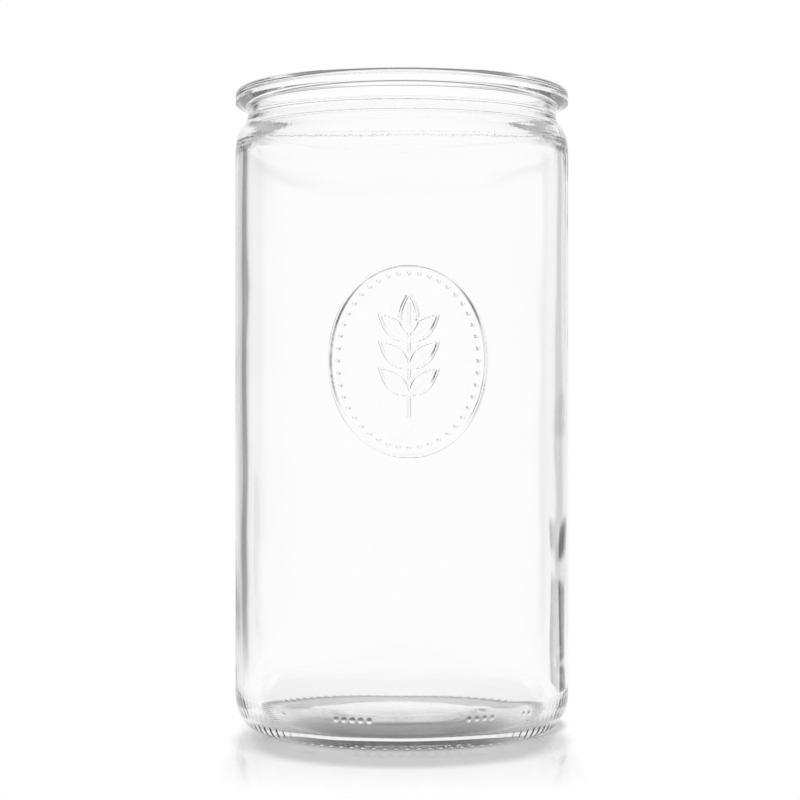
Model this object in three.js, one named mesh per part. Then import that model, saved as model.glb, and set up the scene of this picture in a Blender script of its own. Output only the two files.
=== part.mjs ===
// A cylindrical canning jar: one piece of clear moulded glass, open at the top, on a narrow bearing ring.
// Millimetres, +Z up. The origin is the middle of the plane that the jar stands on.
import * as THREE from "three";

// Driving dimensions. The brimful volume that they enclose is about 1585 ml.
const HEIGHT = 205;
const BODY_DIAMETER = 108;
const NECK_DIAMETER = 100;
const RIM_DIAMETER = 107.8;
const WALL = 3.7;
const NECK_WALL = 3;

// Foot: the flat ring that touches the table, a shallow cove inside it and the pushed-up dome.
const RING_OUTER_DIAMETER = 95.4;
const RING_WIDTH = 1.7;
const COVE_WIDTH = 3.9;
const COVE_HEIGHT = 0.33;
const PUSH_UP = 2.9;
const DOME_FLAT = 0.78;
const DOME_FOOT = 0.21;

// Heel: a quarter ellipse from the bearing ring up to the straight wall, outside and inside.
const HEEL_HEIGHT = 11.4;
const INNER_HEEL_WIDTH = 6.9;
const INNER_HEEL_HEIGHT = 10.6;

// Floor: a low gutter round its edge, and a crown in the middle over the dome.
const FLOOR_EDGE = 2.5;
const FLOOR_CROWN = 2.4;
const FLOOR_FLAT = 0.55;
const CROWN_FLAT = 0.8;

// Shoulder: outside, a quarter ellipse that turns in, then a small hollow curve up into the neck.
// Inside, one S-shaped curve from the neck out to the wall.
const SHOULDER_START = HEIGHT - 20.9;
const SHOULDER_RISE = 10.1;
const SHOULDER_TURN = THREE.MathUtils.degToRad(65);
const NECK_START = HEIGHT - 8.4;
const INNER_NECK_START = HEIGHT - 10.4;
const INNER_SHOULDER_END = HEIGHT - 21.2;
const INNER_NECK_HANDLE = 4.9;
const INNER_SHOULDER_HANDLE = 5.5;

// Rim: a flange with a small fillet at its root, a sloping underside and a flat sealing face on top.
const RIM_ROOT = HEIGHT - 5.6;
const ROOT_FILLET = 0.4;
const RIM_LOWER_EDGE = HEIGHT - 4.2;
const RIM_EDGE_ROUND = 0.4;
const RIM_TOP_ROUND = 1.65;
const MOUTH_ROUND = 2.3;

// Facets: steps around the axis, and steps along each curve of the profile.
const STEPS_AROUND = 72;
const STEPS_PER_CURVE = 4;

const bodyRadius = BODY_DIAMETER / 2;
const neckRadius = NECK_DIAMETER / 2;
const rimRadius = RIM_DIAMETER / 2;
const insideRadius = bodyRadius - WALL;
const mouthRadius = neckRadius - NECK_WALL;
const ringOuterRadius = RING_OUTER_DIAMETER / 2;
const ringInnerRadius = ringOuterRadius - RING_WIDTH;

// The underside: from the axis, down the dome, through the cove, across the bearing ring and up the heel.
function drawFoot(path) {
  const domeEdge = ringInnerRadius - COVE_WIDTH;
  path.moveTo(0, PUSH_UP);
  const domeFoot = domeEdge * (1 - DOME_FOOT);
  path.bezierCurveTo(domeEdge * DOME_FLAT, PUSH_UP, domeFoot, COVE_HEIGHT, domeEdge, COVE_HEIGHT);
  path.quadraticCurveTo(ringInnerRadius, COVE_HEIGHT, ringInnerRadius, 0);
  path.lineTo(ringOuterRadius, 0);
  const heelDepth = bodyRadius - ringOuterRadius;
  path.absellipse(ringOuterRadius, HEEL_HEIGHT, heelDepth, HEEL_HEIGHT, -Math.PI / 2, 0);
}

// The outside of the wall, the shoulder and the neck, up to the root of the rim.
function drawOutside(path) {
  const shoulderDepth = bodyRadius - neckRadius;
  path.lineTo(bodyRadius, SHOULDER_START);
  path.absellipse(neckRadius, SHOULDER_START, shoulderDepth, SHOULDER_RISE, 0, SHOULDER_TURN);
  // The hollow curve leaves the ellipse along its tangent and ends upright on the neck.
  const endRadius = neckRadius + shoulderDepth * Math.cos(SHOULDER_TURN);
  const endHeight = SHOULDER_START + SHOULDER_RISE * Math.sin(SHOULDER_TURN);
  const slope = (SHOULDER_RISE / shoulderDepth) / Math.tan(SHOULDER_TURN);
  path.quadraticCurveTo(neckRadius, endHeight + (endRadius - neckRadius) * slope, neckRadius, NECK_START);
  path.lineTo(neckRadius, RIM_ROOT - ROOT_FILLET);
}

// The flange: root fillet, sloping underside, rounded outer edge, flat sealing face and rounded mouth.
function drawRim(path) {
  const root = new THREE.Vector2(neckRadius, RIM_ROOT);
  const edge = new THREE.Vector2(rimRadius - RIM_EDGE_ROUND, RIM_LOWER_EDGE);
  const filletEnd = root.clone().lerp(edge, ROOT_FILLET / root.distanceTo(edge));
  path.quadraticCurveTo(root.x, root.y, filletEnd.x, filletEnd.y);
  path.lineTo(edge.x, edge.y);
  path.quadraticCurveTo(rimRadius, RIM_LOWER_EDGE, rimRadius, RIM_LOWER_EDGE + RIM_EDGE_ROUND);
  path.lineTo(rimRadius, HEIGHT - RIM_TOP_ROUND);
  path.absarc(rimRadius - RIM_TOP_ROUND, HEIGHT - RIM_TOP_ROUND, RIM_TOP_ROUND, 0, Math.PI / 2);
  path.lineTo(mouthRadius + MOUTH_ROUND, HEIGHT);
  path.absarc(mouthRadius + MOUTH_ROUND, HEIGHT - MOUTH_ROUND, MOUTH_ROUND, Math.PI / 2, Math.PI);
}

// The inside: down the neck, out under the shoulder, down the wall and across the crowned floor to the axis.
function drawInside(path) {
  const neckHandle = INNER_NECK_START - INNER_NECK_HANDLE;
  const shoulderHandle = INNER_SHOULDER_END + INNER_SHOULDER_HANDLE;
  path.lineTo(mouthRadius, INNER_NECK_START);
  path.bezierCurveTo(mouthRadius, neckHandle, insideRadius, shoulderHandle, insideRadius, INNER_SHOULDER_END);
  const heelRadius = insideRadius - INNER_HEEL_WIDTH;
  const heelHeight = FLOOR_EDGE + INNER_HEEL_HEIGHT;
  path.lineTo(insideRadius, heelHeight);
  path.absellipse(heelRadius, heelHeight, INNER_HEEL_WIDTH, INNER_HEEL_HEIGHT, 0, -Math.PI / 2, true);
  const crownHeight = FLOOR_EDGE + FLOOR_CROWN;
  const gutterEdge = heelRadius * (1 - FLOOR_FLAT);
  path.bezierCurveTo(gutterEdge, FLOOR_EDGE, heelRadius * CROWN_FLAT, crownHeight, 0, crownHeight);
}

function makeJarBody() {
  const path = new THREE.Path();
  drawFoot(path);
  drawOutside(path);
  drawRim(path);
  drawInside(path);
  const geometry = new THREE.LatheGeometry(path.getPoints(STEPS_PER_CURVE), STEPS_AROUND);
  geometry.rotateX(Math.PI / 2);
  const glass = new THREE.MeshStandardMaterial({
    color: 0xf4f6f5,
    roughness: 0.03,
    metalness: 0,
    transparent: true,
    opacity: 0.35,
  });
  const body = new THREE.Mesh(geometry, glass);
  body.name = "jar_body";
  return body;
}

const jar = new THREE.Group();
jar.add(makeJarBody());

export default jar;
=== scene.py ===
import math

import bmesh
import bpy
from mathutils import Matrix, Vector, noise


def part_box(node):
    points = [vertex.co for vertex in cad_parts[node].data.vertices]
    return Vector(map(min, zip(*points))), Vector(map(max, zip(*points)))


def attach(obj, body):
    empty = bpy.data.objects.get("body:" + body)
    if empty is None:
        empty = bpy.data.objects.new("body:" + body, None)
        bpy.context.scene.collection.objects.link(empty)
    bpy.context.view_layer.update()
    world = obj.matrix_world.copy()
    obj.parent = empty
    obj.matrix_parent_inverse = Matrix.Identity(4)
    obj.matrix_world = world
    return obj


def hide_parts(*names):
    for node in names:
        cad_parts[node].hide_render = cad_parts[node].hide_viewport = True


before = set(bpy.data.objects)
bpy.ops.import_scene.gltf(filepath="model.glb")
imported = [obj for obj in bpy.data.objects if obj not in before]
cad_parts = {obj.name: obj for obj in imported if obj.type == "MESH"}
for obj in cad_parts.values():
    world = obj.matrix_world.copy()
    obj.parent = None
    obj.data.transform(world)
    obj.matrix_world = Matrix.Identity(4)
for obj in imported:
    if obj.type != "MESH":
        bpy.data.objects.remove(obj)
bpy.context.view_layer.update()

# The jar: one piece of clear colourless soda-lime glass, pressed and then blown in a split mould.
# Rim, neck, shoulder, wall, heel and base are one closed skin, so one profile is spun about the axis,
# and the marks that the mould leaves are raised on it afterwards. Its sizes are in millimetres.
MM = 0.001
cad_low, cad_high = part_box("jar_body")
HEIGHT = (cad_high.z - cad_low.z) / MM
BODY_RADIUS = cad_high.x / MM
WALL = 3.7
NECK_DEPTH = 4
NECK_WALL = 3
RIM_INSET = 0.1
NECK_RADIUS = BODY_RADIUS - NECK_DEPTH
RIM_RADIUS = BODY_RADIUS - RIM_INSET
INSIDE_RADIUS = BODY_RADIUS - WALL
MOUTH_RADIUS = NECK_RADIUS - NECK_WALL


def point(radius, height):
    """A place on the profile."""
    return Vector((radius, height))


def line(start, end, steps=1):
    """Points of a straight run, without its start."""
    return [start.lerp(end, step / steps) for step in range(1, steps + 1)]


def ellipse(centre, across, up, start, end, steps):
    """Points of a stretch of an ellipse, in degrees, without its start."""
    angles = [math.radians(start + (end - start) * step / steps) for step in range(1, steps + 1)]
    return [centre + Vector((across * math.cos(a), up * math.sin(a))) for a in angles]


def curve(start, first, second, end, steps):
    """Points of a cubic curve with two handles, without its start."""
    points = []
    for step in range(1, steps + 1):
        t = step / steps
        s = 1 - t
        points.append(s ** 3 * start + 3 * s * s * t * first + 3 * s * t * t * second + t ** 3 * end)
    return points


# Underside, bearing ring and heel: a pushed-up dome, a shallow cove, the flat ring that the jar stands on
# and a quarter ellipse up to the wall.
PUSH_UP = 2.9
DOME_FLAT = 0.78
DOME_FOOT = 0.21
DOME_STEPS = 16
COVE_WIDTH = 3.9
COVE_HEIGHT = 0.33
COVE_STEPS = 6
RING_WIDTH = 1.7
RING_STEPS = 4
HEEL_DEPTH = 6.3
HEEL_HEIGHT = 11.4
HEEL_STEPS = 20
RING_OUTER = BODY_RADIUS - HEEL_DEPTH
RING_INNER = RING_OUTER - RING_WIDTH
dome_edge = RING_INNER - COVE_WIDTH
dome_top = point(dome_edge * DOME_FLAT, PUSH_UP)
dome_foot = point(dome_edge * (1 - DOME_FOOT), COVE_HEIGHT)
outside = [point(0, PUSH_UP)]
outside += curve(outside[-1], dome_top, dome_foot, point(dome_edge, COVE_HEIGHT), DOME_STEPS)
outside += ellipse(point(dome_edge, 0), COVE_WIDTH, COVE_HEIGHT, 90, 0, COVE_STEPS)
outside += line(outside[-1], point(RING_OUTER, 0), RING_STEPS)
outside += ellipse(point(RING_OUTER, HEEL_HEIGHT), HEEL_DEPTH, HEEL_HEIGHT, -90, 0, HEEL_STEPS)

# Outside of the wall, with a band for the medallion, then the shoulder, which turns in along an ellipse
# and hollows out into the neck.
MEDALLION_LOW = 86
MEDALLION_HIGH = 148
SHOULDER_START = HEIGHT - 20.9
SHOULDER_RISE = 10.1
SHOULDER_TURN = 65
SHOULDER_STEPS = 16
NECK_START = HEIGHT - 7.6
NECK_BEND = 0.75
NECK_STEPS = 14
outside += line(outside[-1], point(BODY_RADIUS, MEDALLION_LOW))
outside += line(outside[-1], point(BODY_RADIUS, MEDALLION_HIGH))
outside += line(outside[-1], point(BODY_RADIUS, SHOULDER_START))
shoulder_middle = point(NECK_RADIUS, SHOULDER_START)
outside += ellipse(shoulder_middle, NECK_DEPTH, SHOULDER_RISE, 0, SHOULDER_TURN, SHOULDER_STEPS)
shoulder_end = outside[-1]
shoulder_slope = SHOULDER_RISE / NECK_DEPTH / math.tan(math.radians(SHOULDER_TURN))
bend = point(NECK_RADIUS, shoulder_end.y + (shoulder_end.x - NECK_RADIUS) * shoulder_slope)
neck_start = point(NECK_RADIUS, NECK_START)
outside += curve(shoulder_end, shoulder_end.lerp(bend, NECK_BEND), neck_start.lerp(bend, NECK_BEND),
                 neck_start, NECK_STEPS)

# Rim: a flange on the neck, with a small fillet at its root, a sloping underside, an upright outer face
# and a flat sealing face on top.
RIM_ROOT = HEIGHT - 5.35
ROOT_FILLET = 0.6
FILLET_HANDLE = 0.4
FILLET_STEPS = 6
RIM_LOWER = HEIGHT - 4.2
RIM_EDGE_ROUND = 0.2
RIM_EDGE_STEPS = 6
RIM_TOP_ROUND = 1.65
RIM_TOP_STEPS = 12
MOUTH_ROUND = 2.3
rim_root = point(NECK_RADIUS, RIM_ROOT)
rim_lower = point(RIM_RADIUS - RIM_EDGE_ROUND, RIM_LOWER)
down_neck = point(0, -ROOT_FILLET)
along_underside = (rim_lower - rim_root).normalized() * ROOT_FILLET
outside += line(outside[-1], rim_root + down_neck)
outside += curve(outside[-1], rim_root + down_neck * FILLET_HANDLE,
                 rim_root + along_underside * FILLET_HANDLE, rim_root + along_underside, FILLET_STEPS)
outside += line(outside[-1], rim_lower)
rim_edge = rim_lower + point(0, RIM_EDGE_ROUND)
outside += ellipse(rim_edge, RIM_EDGE_ROUND, RIM_EDGE_ROUND, -90, 0, RIM_EDGE_STEPS)
outside += line(outside[-1], point(RIM_RADIUS, HEIGHT - RIM_TOP_ROUND))
rim_top = point(RIM_RADIUS - RIM_TOP_ROUND, HEIGHT - RIM_TOP_ROUND)
outside += ellipse(rim_top, RIM_TOP_ROUND, RIM_TOP_ROUND, 0, 90, RIM_TOP_STEPS)
outside += line(outside[-1], point(MOUTH_RADIUS + MOUTH_ROUND, HEIGHT))

# Inside: the rounded mouth, the neck, an S-shaped curve under the shoulder, the wall, the heel and the floor,
# which has a low gutter round its edge and a crown in the middle.
MOUTH_STEPS = 10
INNER_NECK_START = HEIGHT - 10.4
INNER_NECK_HANDLE = 4.9
INNER_SHOULDER_END = HEIGHT - 21.2
INNER_SHOULDER_HANDLE = 5.5
INNER_SHOULDER_STEPS = 16
INNER_WALL_STEPS = 20
INNER_HEEL_WIDTH = 6.9
INNER_HEEL_HEIGHT = 10.6
INNER_HEEL_STEPS = 14
FLOOR_EDGE = 2.5
FLOOR_CROWN = 2.4
FLOOR_FLAT = 0.55
CROWN_FLAT = 0.8
FLOOR_STEPS = 14
mouth_centre = point(MOUTH_RADIUS + MOUTH_ROUND, HEIGHT - MOUTH_ROUND)
heel_centre = point(INSIDE_RADIUS - INNER_HEEL_WIDTH, FLOOR_EDGE + INNER_HEEL_HEIGHT)
floor_middle = point(0, FLOOR_EDGE + FLOOR_CROWN)
inside = ellipse(mouth_centre, MOUTH_ROUND, MOUTH_ROUND, 90, 180, MOUTH_STEPS)
inside += line(inside[-1], point(MOUTH_RADIUS, INNER_NECK_START))
inside += curve(inside[-1], point(MOUTH_RADIUS, INNER_NECK_START - INNER_NECK_HANDLE),
                point(INSIDE_RADIUS, INNER_SHOULDER_END + INNER_SHOULDER_HANDLE),
                point(INSIDE_RADIUS, INNER_SHOULDER_END), INNER_SHOULDER_STEPS)
inside += line(inside[-1], point(INSIDE_RADIUS, heel_centre.y), INNER_WALL_STEPS)
inside += ellipse(heel_centre, INNER_HEEL_WIDTH, INNER_HEEL_HEIGHT, 0, -90, INNER_HEEL_STEPS)
inside += curve(inside[-1], point(heel_centre.x * (1 - FLOOR_FLAT), FLOOR_EDGE),
                point(heel_centre.x * CROWN_FLAT, floor_middle.y), floor_middle, FLOOR_STEPS)

# The skin: outside and inside are one outline, which is spun round the axis into a closed shape. Its vertices
# remember which side they are on.
COLUMNS = 360
SAME_PLACE = 0.01
jar_mesh = bmesh.new()
is_inside = jar_mesh.verts.layers.int.new("is_inside")
outline = [jar_mesh.verts.new((p.x * MM, 0, p.y * MM)) for p in outside + inside]
for vertex in outline[len(outside):]:
    vertex[is_inside] = 1
edges = [jar_mesh.edges.new(pair) for pair in zip(outline, outline[1:])]
bmesh.ops.spin(jar_mesh, geom=outline + edges, cent=(0, 0, 0), axis=(0, 0, 1), angle=math.tau, steps=COLUMNS,
               use_merge=True)
bmesh.ops.remove_doubles(jar_mesh, verts=jar_mesh.verts, dist=SAME_PLACE * MM)
bmesh.ops.recalc_face_normals(jar_mesh, faces=jar_mesh.faces)


def front_angle(spot):
    """Degrees round the axis from the front, growing to the right."""
    return math.degrees(math.atan2(spot.x, -spot.y))


def on_patch(vertex, low, high, left, right):
    """Whether a vertex of the outside lies between two heights and two angles."""
    is_between = low - SAME_PLACE < vertex.co.z / MM < high + SAME_PLACE
    return is_between and not vertex[is_inside] and left < front_angle(vertex.co) < right


def refine(low, high, left, right, rows, columns):
    """Cut a patch of the outside into finer faces and give its vertices back."""
    for cuts, is_upright in ((rows, True), (columns, False)):
        chosen = [v for v in jar_mesh.verts if on_patch(v, low, high, left, right)]
        members = set(chosen)
        linked = {edge for v in chosen for edge in v.link_edges}
        wanted = []
        for edge in linked:
            first, second = edge.verts
            climbs = abs(first.co.z - second.co.z) > SAME_PLACE * MM
            if first in members and second in members and climbs == is_upright:
                wanted.append(edge)
        bmesh.ops.subdivide_edges(jar_mesh, edges=wanted, cuts=cuts, use_grid_fill=True)
    return [v for v in jar_mesh.verts if on_patch(v, low, high, left, right)]


def place(vertex, angle, radius):
    """Put a vertex at a radius in mm, at an angle from the front and at its own height."""
    turn = math.radians(angle)
    vertex.co.x = math.sin(turn) * radius * MM
    vertex.co.y = -math.cos(turn) * radius * MM


def ridge(distance, half_width):
    """A rounded ridge's share of its full height."""
    share = 1 - (distance / half_width) ** 2
    return share * share if share > 0 else 0


# Medallion: an oval border, a ring of beads and a plain leafy sprig in the same glass as the wall.
# They are cut into the mould, so they stand up from the front of the wall, with rounded edges.
MEDALLION_MIDDLE = 117
MEDALLION_TURN = 2.2
MEDALLION_REACH = 28
MEDALLION_ROWS = 174
PATCH_COLUMNS = 2
OVAL_ACROSS = 24.3
OVAL_UP = 28.6
BORDER_HALF = 0.7
BORDER_RISE = 1.0
BEADS = 44
BEAD_INSET = 2.6
BEAD_RADIUS = 0.9
BEAD_RISE = 0.9
LEAF_LENGTH = 12
LEAF_HALF = 2.6
LEAF_TILT = 48
LEAF_LINE = 0.62
LEAF_RISE = 1.0
LEAF_FULLNESS = 0.8
MIDRIB_END = 0.8
MIDRIB_SHARE = 0.7
STEM_FOOT = -17
STEM_TOP = 8
LEAF_PAIRS = (-10, -2, 6)


def leaf_relief(across, up, foot, tilt):
    """Relief of a leaf's outline and midrib. The leaf grows from the stem at the height of foot."""
    turn = math.radians(tilt)
    along = across * math.sin(turn) + (up - foot) * math.cos(turn)
    off = abs(across * math.cos(turn) - (up - foot) * math.sin(turn))
    share = along / LEAF_LENGTH
    if not 0 < share < 1:
        return 0
    half = LEAF_HALF * math.sin(math.pi * share ** LEAF_FULLNESS)
    midrib = ridge(off, LEAF_LINE) if share < MIDRIB_END else 0
    return max(ridge(off - half, LEAF_LINE), MIDRIB_SHARE * midrib) * LEAF_RISE


def medallion_relief(across, up):
    """Height of the medallion's relief at a place on the front, all in mm."""
    turn = math.atan2(up / OVAL_UP, across / OVAL_ACROSS)
    border = Vector((OVAL_ACROSS * math.cos(turn), OVAL_UP * math.sin(turn)))
    here = Vector((across, up))
    rise = BORDER_RISE * ridge((here - border).length, BORDER_HALF)
    bead_turn = round(turn / math.tau * BEADS) * math.tau / BEADS
    bead_across = (OVAL_ACROSS - BEAD_INSET) * math.cos(bead_turn)
    bead_up = (OVAL_UP - BEAD_INSET) * math.sin(bead_turn)
    bead = Vector((bead_across, bead_up))
    rise = max(rise, BEAD_RISE * ridge((here - bead).length, BEAD_RADIUS))
    if STEM_FOOT < up < STEM_TOP:
        rise = max(rise, LEAF_RISE * ridge(across, LEAF_LINE))
    rise = max(rise, leaf_relief(across, up, STEM_TOP, 0))
    for foot in LEAF_PAIRS:
        for tilt in (-LEAF_TILT, LEAF_TILT):
            rise = max(rise, leaf_relief(across, up, foot, tilt))
    return rise


medallion_left = MEDALLION_TURN - MEDALLION_REACH
medallion_right = MEDALLION_TURN + MEDALLION_REACH
medallion = refine(MEDALLION_LOW, MEDALLION_HIGH, medallion_left, medallion_right, MEDALLION_ROWS,
                   PATCH_COLUMNS)
for vertex in medallion:
    angle = front_angle(vertex.co)
    across = math.radians(angle - MEDALLION_TURN) * BODY_RADIUS
    place(vertex, angle, BODY_RADIUS + medallion_relief(across, vertex.co.z / MM - MEDALLION_MIDDLE))

# Mould dots: small raised dots in the same glass, in groups on the front of the heel, which number the mould.
# Each group is given by its angle from the front and its count.
DOT_GROUPS = ((-42, 1), (-16, 5), (26, 4), (45, 2))
DOT_HEIGHT = 9.4
DOT_RADIUS = 0.9
DOT_RISE = 0.35
DOT_PITCH = 2.6
DOT_BAND_LOW = 6.5
DOT_BAND_HIGH = 11.4
DOT_REACH = 53
DOT_ROWS = 2
dots = []
for middle, count in DOT_GROUPS:
    for number in range(count):
        dots.append(math.radians(middle) * BODY_RADIUS + (number - (count - 1) / 2) * DOT_PITCH)
for vertex in refine(DOT_BAND_LOW, DOT_BAND_HIGH, -DOT_REACH, DOT_REACH, DOT_ROWS, PATCH_COLUMNS):
    angle = front_angle(vertex.co)
    height = vertex.co.z / MM
    across = math.radians(angle) * BODY_RADIUS
    share = 1 - height / HEEL_HEIGHT
    heel_reach = RING_OUTER + HEEL_DEPTH * math.sqrt(1 - share * share)
    rise = max(ridge(math.hypot(across - dot, height - DOT_HEIGHT), DOT_RADIUS) for dot in dots)
    place(vertex, angle, heel_reach + DOT_RISE * rise)

# Mould marks all round: notches across the bearing ring, two upright seams at the sides where the halves of
# the mould meet, and an inside that is slightly uneven where the glass was blown.
NEAR_AXIS = 1
NOTCH_PATTERN = (0, 0, 1, 0)
NOTCH_DEPTH = 0.35
NOTCH_FADE = 1.2
SEAM_TOP = HEIGHT - 13.8
SEAM_RISE = 0.1
SEAM_HALF = 0.6
UNEVEN_RISE = 0.4
UNEVEN_LENGTH = 42
UNEVEN_FADE = 12
RIPPLE_RISE = 0.1
RIPPLE_LENGTH = 13
FLOOR_RIPPLE = 1.4
for vertex in jar_mesh.verts:
    reach = vertex.co.xy.length / MM
    if reach < NEAR_AXIS:
        continue
    height = vertex.co.z / MM
    angle = front_angle(vertex.co)
    here = vertex.co / MM
    if vertex[is_inside]:
        ripple = RIPPLE_RISE * noise.noise(here / RIPPLE_LENGTH)
        if height > heel_centre.y:
            wave = UNEVEN_RISE * noise.noise(here / UNEVEN_LENGTH) + ripple
            fade = min(1, max(0, (INNER_NECK_START - height) / UNEVEN_FADE))
            place(vertex, angle, reach + wave * fade)
        else:
            vertex.co.z += FLOOR_RIPPLE * ripple * MM
        continue
    if height < NOTCH_FADE and reach > RING_INNER - NOTCH_FADE:
        column = round(angle * COLUMNS / 360) % len(NOTCH_PATTERN)
        vertex.co.z += NOTCH_DEPTH * NOTCH_PATTERN[column] * (1 - height / NOTCH_FADE) * MM
    elif HEEL_HEIGHT < height < SEAM_TOP and abs(here.y) < SEAM_HALF:
        place(vertex, angle, reach + SEAM_RISE)

for face in jar_mesh.faces:
    face.smooth = True
jar = bpy.data.objects.new("glass_jar", bpy.data.meshes.new("glass_jar"))
jar_mesh.to_mesh(jar.data)
jar_mesh.free()
bpy.context.scene.collection.objects.link(jar)

# The glass: clear and fire-polished, very slightly grey in its depth. The mould leaves a fine grain on the
# shoulder, and use leaves scuffs on the bearing ring.
GLASS_IOR = 1.5
ABSORBED = (0.5, 0.5, 0.5, 1)
ABSORPTION = 6
GRAIN_LENGTH = 1.5
GRAIN_RISE = 0.03
GRAIN_HEIGHTS = (SHOULDER_START - 2, SHOULDER_START + 1, NECK_START - 2, NECK_START)
GRAIN_SKIN = (NECK_RADIUS - 0.9, NECK_RADIUS)
SCUFF_LENGTH = 1.5
SCUFF_PATCHES = (0.5, 0.7)
SCUFF_HEIGHT = 1.5
SCUFF_ROUGHNESS = 0.25


class Value:
    """A socket of a node tree, or the tree alone. Python's operators on a socket add Math nodes."""

    def __init__(self, tree, socket=None):
        self.tree = tree
        self.socket = socket

    def into(self, socket, value):
        """Give a socket a number, a colour or a link."""
        if isinstance(value, Value):
            self.tree.links.new(value.socket, socket)
        else:
            socket.default_value = value

    def node(self, kind, settings, inputs, output=0):
        """A new node's output: its settings are set first, then its sockets get values or links."""
        made = self.tree.nodes.new(kind)
        for name, setting in settings.items():
            setattr(made, name, setting)
        for name, value in inputs.items():
            self.into(made.inputs[name], value)
        return Value(self.tree, made.outputs[output])

    def maths(self, operation, first, second=0.0):
        return self.node("ShaderNodeMath", {"operation": operation}, {0: first, 1: second})

    def ramp(self, start, end):
        """0 before start, 1 after end, and a smooth rise between."""
        return self.node("ShaderNodeMapRange", {"interpolation_type": "SMOOTHSTEP"},
                         {"Value": self, "From Min": start, "From Max": end})

    def band(self, start, full, fade, end):
        """0 before start, 1 from full to fade, and 0 again after end."""
        return self.ramp(start, full) - self.ramp(fade, end)

    def larger(self, other):
        return self.maths("MAXIMUM", self, other)

    def __add__(self, other):
        return self.maths("ADD", self, other)

    def __sub__(self, other):
        return self.maths("SUBTRACT", self, other)

    def __rsub__(self, other):
        return self.maths("SUBTRACT", other, self)

    def __mul__(self, other):
        return self.maths("MULTIPLY", self, other)

    def __truediv__(self, other):
        return self.maths("DIVIDE", self, other)

    __radd__ = __add__
    __rmul__ = __mul__


clear_glass = bpy.data.materials.new("clear_glass")
clear_glass.use_nodes = True
glass = Value(clear_glass.node_tree)
skin = clear_glass.node_tree.nodes["Principled BSDF"].inputs
glass.into(skin["Base Color"], (1, 1, 1, 1))
glass.into(skin["Transmission Weight"], 1)
glass.into(skin["IOR"], GLASS_IOR)
spot = glass.node("ShaderNodeTexCoord", {}, {}, "Object")
glass_height = glass.node("ShaderNodeSeparateXYZ", {}, {"Vector": spot}, "Z") / MM
level_spot = glass.node("ShaderNodeVectorMath", {"operation": "MULTIPLY"}, {0: spot, 1: (1, 1, 0)})
glass_reach = glass.node("ShaderNodeVectorMath", {"operation": "LENGTH"}, {0: level_spot}, "Value") / MM
scuffs = glass.node("ShaderNodeTexNoise", {}, {"Vector": spot, "Scale": 1 / (SCUFF_LENGTH * MM)})
scuffed = scuffs.ramp(*SCUFF_PATCHES) * (1 - glass_height.ramp(0, SCUFF_HEIGHT))
glass.into(skin["Roughness"], scuffed * SCUFF_ROUGHNESS)
grain = glass.node("ShaderNodeTexNoise", {}, {"Vector": spot, "Scale": 1 / (GRAIN_LENGTH * MM)})
grained = glass_height.band(*GRAIN_HEIGHTS) * glass_reach.ramp(*GRAIN_SKIN) * grain
mould_grain = glass.node("ShaderNodeBump", {}, {"Height": grained, "Distance": GRAIN_RISE * MM})
glass.into(skin["Normal"], mould_grain)
depth_grey = glass.node("ShaderNodeVolumeAbsorption", {}, {"Color": ABSORBED, "Density": ABSORPTION})
glass.into(clear_glass.node_tree.nodes["Material Output"].inputs["Volume"], depth_grey)
jar.data.materials.append(clear_glass)
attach(jar, "root")
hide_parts("jar_body")

# The table: a plain white top with a soft gloss, in metres. It isn't part of the jar. The jar's shade is
# painted on it in front, under the base and under the right of the heel, with a painted bright line where the
# ring stands, and the foot is mirrored below.
TABLE_HALF_WIDTH = 0.085
TABLE_FRONT = -0.16
TABLE_BACK = 0.42
AIR_GAP = 0.00006
TABLE_WHITE = (0.98, 0.98, 0.98, 1)
TABLE_GLOW = 1.0
GLOW_NEAR_JAR = 0.95
GLOW_EDGE = (0.048, 0.058)
SHADE_GREY = (0.12, 0.12, 0.12, 1)
SHADE_MIDDLE = (0, -0.028, -AIR_GAP)
PAINTED_RING_LIGHT = (0.0456, 0.0461, 0.0476, 0.0481)
BASE_EDGE = (0.046, 0.053)
BASE_SHADE = 0.95
BASE_SHADE_EDGE = (0.018, 0.055)
FRONT_SHADE = 0.53
FRONT_SHADE_EDGE = (0.044, 0.055)
HEEL_SHADE = 0.8
HEEL_SHADE_LEFT = (0.03, 0.046)
HEEL_SHADE_EDGE = (0.0495, 0.0545)
GLOSS_ROUGHNESS = 0.03
GLOSS_IOR = 1.9
MIRROR_REACH = (0.07, 0.125)
MIRROR_SIDES = (0.049, 0.053)
table_mesh = bmesh.new()
bmesh.ops.create_grid(table_mesh, x_segments=1, y_segments=1, size=1)
bmesh.ops.scale(table_mesh, vec=(TABLE_HALF_WIDTH, (TABLE_BACK - TABLE_FRONT) / 2, 1), verts=table_mesh.verts)
bmesh.ops.translate(table_mesh, vec=(0, (TABLE_BACK + TABLE_FRONT) / 2, -AIR_GAP), verts=table_mesh.verts)
table = bpy.data.objects.new("table", bpy.data.meshes.new("table"))
table_mesh.to_mesh(table.data)
table_mesh.free()
bpy.context.scene.collection.objects.link(table)
white_top = bpy.data.materials.new("white_top")
white_top.use_nodes = True
top = Value(white_top.node_tree)
position = top.node("ShaderNodeTexCoord", {}, {}, "Object")
table_x = top.node("ShaderNodeSeparateXYZ", {}, {"Vector": position}, "X")
from_axis = top.node("ShaderNodeVectorMath", {"operation": "LENGTH"}, {0: position}, "Value")
from_shade = top.node("ShaderNodeVectorMath", {"operation": "DISTANCE"},
                      {0: position, 1: SHADE_MIDDLE}, "Value")
# A painted bright line on the table where the bearing ring stands, for light that the glass pipes down to it:
# there the table glows fully and takes no painted shade.
painted_ring_light = from_axis.band(*PAINTED_RING_LIGHT)
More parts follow.
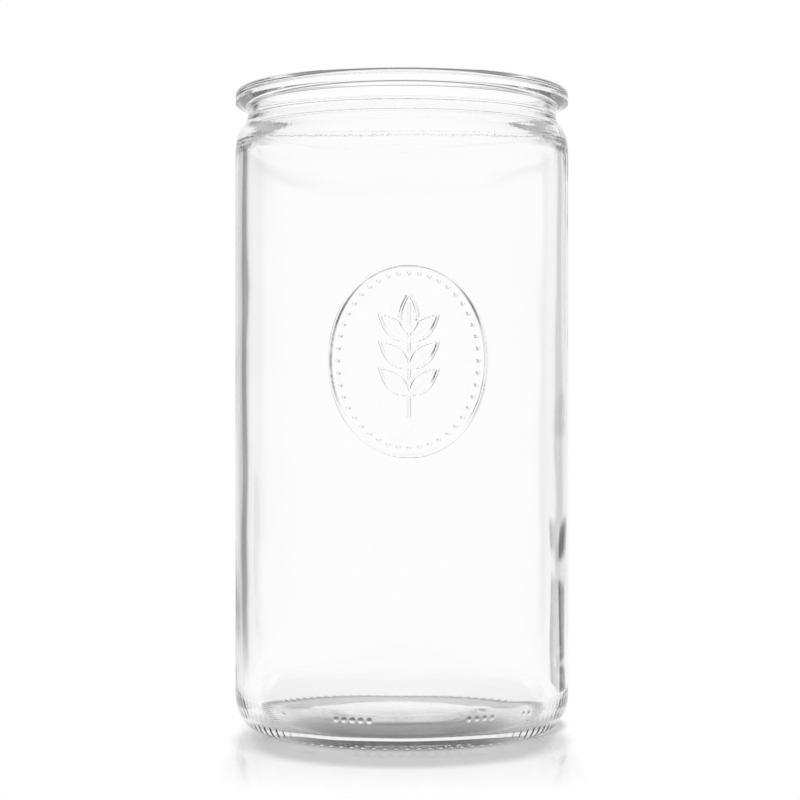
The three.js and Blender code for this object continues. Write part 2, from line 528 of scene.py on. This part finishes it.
# Painted shadow: a soft dark disc set forward of the jar and under its base, and a dark patch under the right
# of the heel, mixed in as a grey diffuse shader.
under_base = 1 - from_axis.ramp(*BASE_EDGE)
base_shade = (1 - from_shade.ramp(*BASE_SHADE_EDGE)) * BASE_SHADE
front_shade = (1 - from_shade.ramp(*FRONT_SHADE_EDGE)) * FRONT_SHADE
heel_shade = table_x.ramp(*HEEL_SHADE_LEFT) * (1 - from_axis.ramp(*HEEL_SHADE_EDGE)) * HEEL_SHADE
shadow = front_shade.larger(heel_shade) * (1 - under_base) + base_shade * under_base
shadow = shadow * (1 - painted_ring_light)
shade = top.node("ShaderNodeBsdfDiffuse", {}, {"Color": SHADE_GREY})
lit = top.node("ShaderNodeBsdfDiffuse", {}, {"Color": TABLE_WHITE})
glow = top.node("ShaderNodeEmission", {}, {"Strength": TABLE_GLOW})
glowing = GLOW_NEAR_JAR + (1 - GLOW_NEAR_JAR) * from_axis.ramp(*GLOW_EDGE).larger(painted_ring_light)
open_top = top.node("ShaderNodeMixShader", {}, {0: glowing, 1: lit, 2: glow})
bare = top.node("ShaderNodeMixShader", {}, {0: shadow, 1: open_top, 2: shade})
gloss = top.node("ShaderNodeBsdfGlossy", {}, {"Roughness": GLOSS_ROUGHNESS})
shine = top.node("ShaderNodeFresnel", {}, {"IOR": GLOSS_IOR})
mirror_sides = top.maths("ABSOLUTE", table_x).ramp(*MIRROR_SIDES)
mirroring = shine * (1 - from_axis.ramp(*MIRROR_REACH)) * (1 - mirror_sides)
coated = top.node("ShaderNodeMixShader", {}, {0: mirroring, 1: bare, 2: gloss})
top.into(white_top.node_tree.nodes["Material Output"].inputs["Surface"], coated)
table.data.materials.append(white_top)

# The studio: a white room with soft light from all round, in degrees of bearing from straight behind the jar
# and of elevation. Dark cards that show only in glass and gloss draw its edges and relief: two upright flags
# behind it, a ceiling at the sides, a high and a low strip, and a small broken card low at the right.
FLAG_HEIGHTS = (-11.5, -4, 9, 12)
FLAG_SOFT_EDGE = (6, 24)
FLAG_SOFT = 0.32
FLAG_EDGE = (28, 33)
FLAG_END = (40, 48)
LEFT_FLAG = 0.77
RIGHT_FLAG = 0.4
FLAG_CHANGE = (-5, 5)
CEILING = 0.85
CEILING_EDGE = (18, 30)
CEILING_BACK = (90, 130)
CEILING_BACK_LOSS = 0.6
CEILING_START = (8, 12)
CEILING_FADE = (14, 24)
CEILING_FADE_LOSS = 0.3
HIGH_STRIP = 0.8
HIGH_STRIP_HEIGHTS = (25, 28, 34, 38)
HIGH_STRIP_END = (25, 40)
LOW_STRIP = 0.9
LOW_STRIP_HEIGHTS = (-28, -26, -20, -17)
LOW_STRIP_END = (12, 20)
CARD_BEARINGS = (17, 20, 33, 38)
CARD_HEIGHTS = (-12.5, -8, -3, -1.8)
CARD_BREAK = (-6, -5.2, -4.6, -3.8)
CARD_BREAK_LOSS = 0.8
DARKEST = 0.95
world = bpy.data.worlds.new("studio")
bpy.context.scene.world = world
world.use_nodes = True
studio = Value(world.node_tree)
direction = studio.node("ShaderNodeTexCoord", {}, {}, "Generated")
x, y, z = [studio.node("ShaderNodeSeparateXYZ", {}, {"Vector": direction}, axis) for axis in "XYZ"]
bearing = studio.maths("ARCTAN2", x, y) * math.degrees(1)
off_middle = studio.maths("ABSOLUTE", bearing)
elevation = studio.maths("ARCSINE", z) * math.degrees(1)
flags = FLAG_SOFT * off_middle.ramp(*FLAG_SOFT_EDGE) + (1 - FLAG_SOFT) * off_middle.ramp(*FLAG_EDGE)
flags = (flags - off_middle.ramp(*FLAG_END)) * elevation.band(*FLAG_HEIGHTS)
flags = flags * (LEFT_FLAG - (LEFT_FLAG - RIGHT_FLAG) * bearing.ramp(*FLAG_CHANGE))
ceiling = off_middle.ramp(*CEILING_EDGE) * (1 - CEILING_BACK_LOSS * off_middle.ramp(*CEILING_BACK)) * CEILING
ceiling = ceiling * (elevation.ramp(*CEILING_START) - CEILING_FADE_LOSS * elevation.ramp(*CEILING_FADE))
high_strip = elevation.band(*HIGH_STRIP_HEIGHTS) * (1 - off_middle.ramp(*HIGH_STRIP_END)) * HIGH_STRIP
low_strip = elevation.band(*LOW_STRIP_HEIGHTS) * (1 - off_middle.ramp(*LOW_STRIP_END)) * LOW_STRIP
card = bearing.band(*CARD_BEARINGS) * elevation.band(*CARD_HEIGHTS)
card = card * (1 - CARD_BREAK_LOSS * elevation.band(*CARD_BREAK))
dark = (flags + ceiling).larger(high_strip).larger(card) + low_strip
passing = studio.node("ShaderNodeLightPath", {}, {}, "Is Transmission Ray")
mirrored = studio.node("ShaderNodeLightPath", {}, {}, "Is Glossy Ray")
room = world.node_tree.nodes["Background"].inputs
studio.into(room["Color"], (1, 1, 1, 1))
studio.into(room["Strength"], 1 - (passing * dark).larger(mirrored * flags) * DARKEST)

# The camera: level with the middle of the jar, and far enough back for a long lens, as in the photograph.
# Light crosses many walls of glass on its way to it, so it may bounce often.
CAMERA_PLACE = (-0.0006, -0.6412, 0.1052)
LENS = 88.7
SENSOR_WIDTH = 36
NEAREST = 0.01
BOUNCES = 48
camera = bpy.data.objects.new("camera", bpy.data.cameras.new("camera"))
bpy.context.scene.collection.objects.link(camera)
camera.location = CAMERA_PLACE
camera.rotation_euler = (math.radians(90), 0, 0)
camera.data.lens = LENS
camera.data.sensor_width = SENSOR_WIDTH
camera.data.clip_start = NEAREST
scene = bpy.context.scene
scene.camera = camera
scene.view_settings.view_transform = "Standard"
scene.cycles.max_bounces = BOUNCES
scene.cycles.transmission_bounces = BOUNCES
scene.cycles.glossy_bounces = BOUNCES
